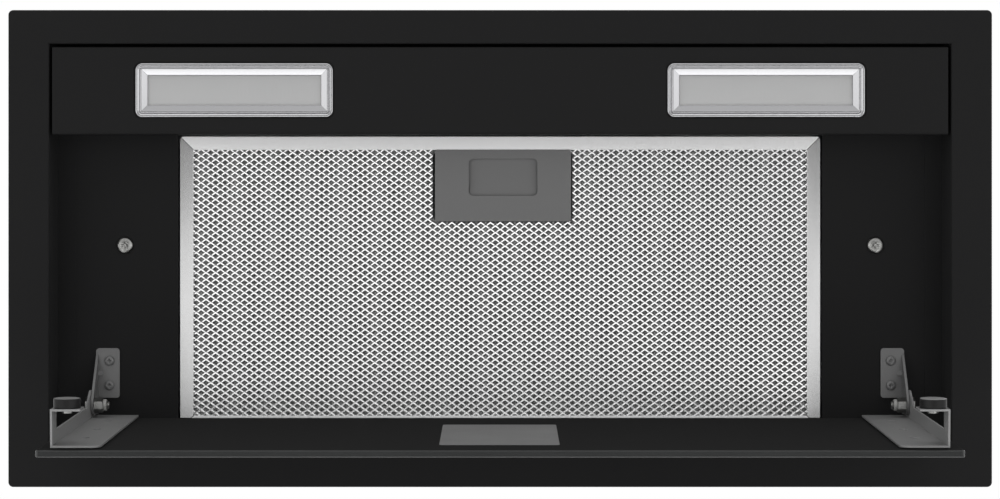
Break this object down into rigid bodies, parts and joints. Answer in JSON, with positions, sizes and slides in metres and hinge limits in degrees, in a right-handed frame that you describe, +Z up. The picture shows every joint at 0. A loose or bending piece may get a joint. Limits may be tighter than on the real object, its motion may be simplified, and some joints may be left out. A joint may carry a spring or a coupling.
{
  "type": "range hood insert",
  "caption": "Built-in canopy hood insert with a trim frame, light strip, aluminium grease filter and a hinged glass panel, ducted through a top outlet.",
  "frame": {"origin": "centre of the top face of the trim frame's hem, which bears on the underside of the cabinet", "axes": "+Z up into the cabinet along the duct, +X along the hood's width, -Y towards the front and the lamps, +Y towards the rear and the panel hinge"},
  "size_m": [0.598, 0.29, 0.4244],
  "materials": {
    "frame_paint": "satin black powder coat",
    "galvanised": "matt zinc spangle",
    "black_plastic": "fine moulded texture",
    "grey_plastic": "moulded",
    "white_plastic": "moulded",
    "zinc_steel": "zinc plate",
    "motor_paint": "semi-gloss",
    "rubber": "matt",
    "bezel_silver": "satin silver",
    "lamp_diffuser": "frosted",
    "filter_aluminium": "brushed",
    "mesh_aluminium": "bare expanded metal",
    "latch_plastic": "satin",
    "black_glass": "polished, painted black behind",
    "bracket_steel": "satin grey",
    "magnet_black": "smooth"
  },
  "bodies": {
    "root": {"trim_frame": "frame_paint", "inner_pan": "frame_paint", "housing_shell": "galvanised", "tower_shell": "galvanised", "outlet_spigot": "black_plastic", "spigot_screws": "zinc_steel", "flap_pin": "zinc_steel", "scroll_left": "grey_plastic", "scroll_right": "grey_plastic", "fan_motor": "motor_paint", "motor_spider": "zinc_steel", "motor_mounts": "rubber", "light_tray": "frame_paint", "led_driver": "white_plastic", "hinge_screws": "zinc_steel", "control_box": "black_plastic", "control_lid": "black_plastic", "cable_gland": "black_plastic", "terminal_block": "white_plastic", "capacitor": "white_plastic", "lamp_bezel_left": "bezel_silver", "lamp_lens_left": "lamp_diffuser", "lamp_board_left": "white_plastic", "lamp_bezel_right": "bezel_silver", "lamp_lens_right": "lamp_diffuser", "lamp_board_right": "white_plastic", "hinge_leaf_left": "bracket_steel", "hinge_leaf_right": "bracket_steel", "clamp_screw_left": "zinc_steel", "clamp_screw_right": "zinc_steel"},
    "panel": {"panel_glass": "black_glass", "panel_bracket_left": "bracket_steel", "panel_bracket_right": "bracket_steel", "bracket_pads": "rubber", "magnet_left": "magnet_black", "magnet_right": "magnet_black", "magnet_screws": "zinc_steel", "hinge_bolt_left": "zinc_steel", "hinge_bolt_right": "zinc_steel"},
    "filter": {"filter_frame": "filter_aluminium", "mesh_front": "mesh_aluminium", "mesh_core": "mesh_aluminium", "mesh_back": "mesh_aluminium", "latch_plate": "latch_plastic"},
    "latch": {"latch_slider": "latch_plastic"},
    "wheel": {"impeller": "black_plastic", "motor_shaft": "zinc_steel"},
    "flap_front": {"flap_front": "black_plastic"},
    "flap_rear": {"flap_rear": "black_plastic"},
    "nut_left": {"clamp_nut_left": "zinc_steel"},
    "nut_right": {"clamp_nut_right": "zinc_steel"},
    "arm_left": {"clamp_arm_left": "zinc_steel"},
    "arm_right": {"clamp_arm_right": "zinc_steel"}
  },
  "joints": [
    {"name": "panel_hinge", "type": "hinge", "parent": "root", "child": "panel", "pos_m": [0, 0.0961, 0.0153], "axis": [1, 0, 0], "range_deg": [-92.6, 0]},
    {"name": "filter_swing", "type": "hinge", "parent": "root", "child": "filter", "pos_m": [0, 0.10565, 0.0353], "axis": [1, 0, 0], "range_deg": [0, 50]},
    {"name": "latch_slide", "type": "slide", "parent": "filter", "child": "latch", "axis": [0, 1, 0], "range_m": [0, 0.005], "stiffness_N_per_m": 400, "springref_m": -0.004},
    {"name": "fan_spin", "type": "hinge", "parent": "root", "child": "wheel", "pos_m": [0, -0.022, 0.148], "axis": [1, 0, 0], "continuous": true},
    {"name": "flap_front_swing", "type": "hinge", "parent": "root", "child": "flap_front", "pos_m": [0, 0.027, 0.254], "axis": [-1, 0, 0], "range_deg": [0, 72]},
    {"name": "flap_rear_swing", "type": "hinge", "parent": "root", "child": "flap_rear", "pos_m": [0, 0.027, 0.254], "axis": [1, 0, 0], "range_deg": [0, 72]},
    {"name": "clamp_left_slide", "type": "slide", "parent": "root", "child": "nut_left", "axis": [0, 0, 1], "range_m": [-0.026, 0]},
    {"name": "clamp_right_slide", "type": "slide", "parent": "root", "child": "nut_right", "axis": [0, 0, 1], "range_m": [-0.026, 0]},
    {"name": "clamp_left_swing", "type": "hinge", "parent": "nut_left", "child": "arm_left", "pos_m": [-0.233, -0.002, 0.07], "axis": [0, 0, -1], "range_deg": [0, 90]},
    {"name": "clamp_right_swing", "type": "hinge", "parent": "nut_right", "child": "arm_right", "pos_m": [0.233, -0.002, 0.07], "axis": [0, 0, 1], "range_deg": [0, 90]}
  ]
}
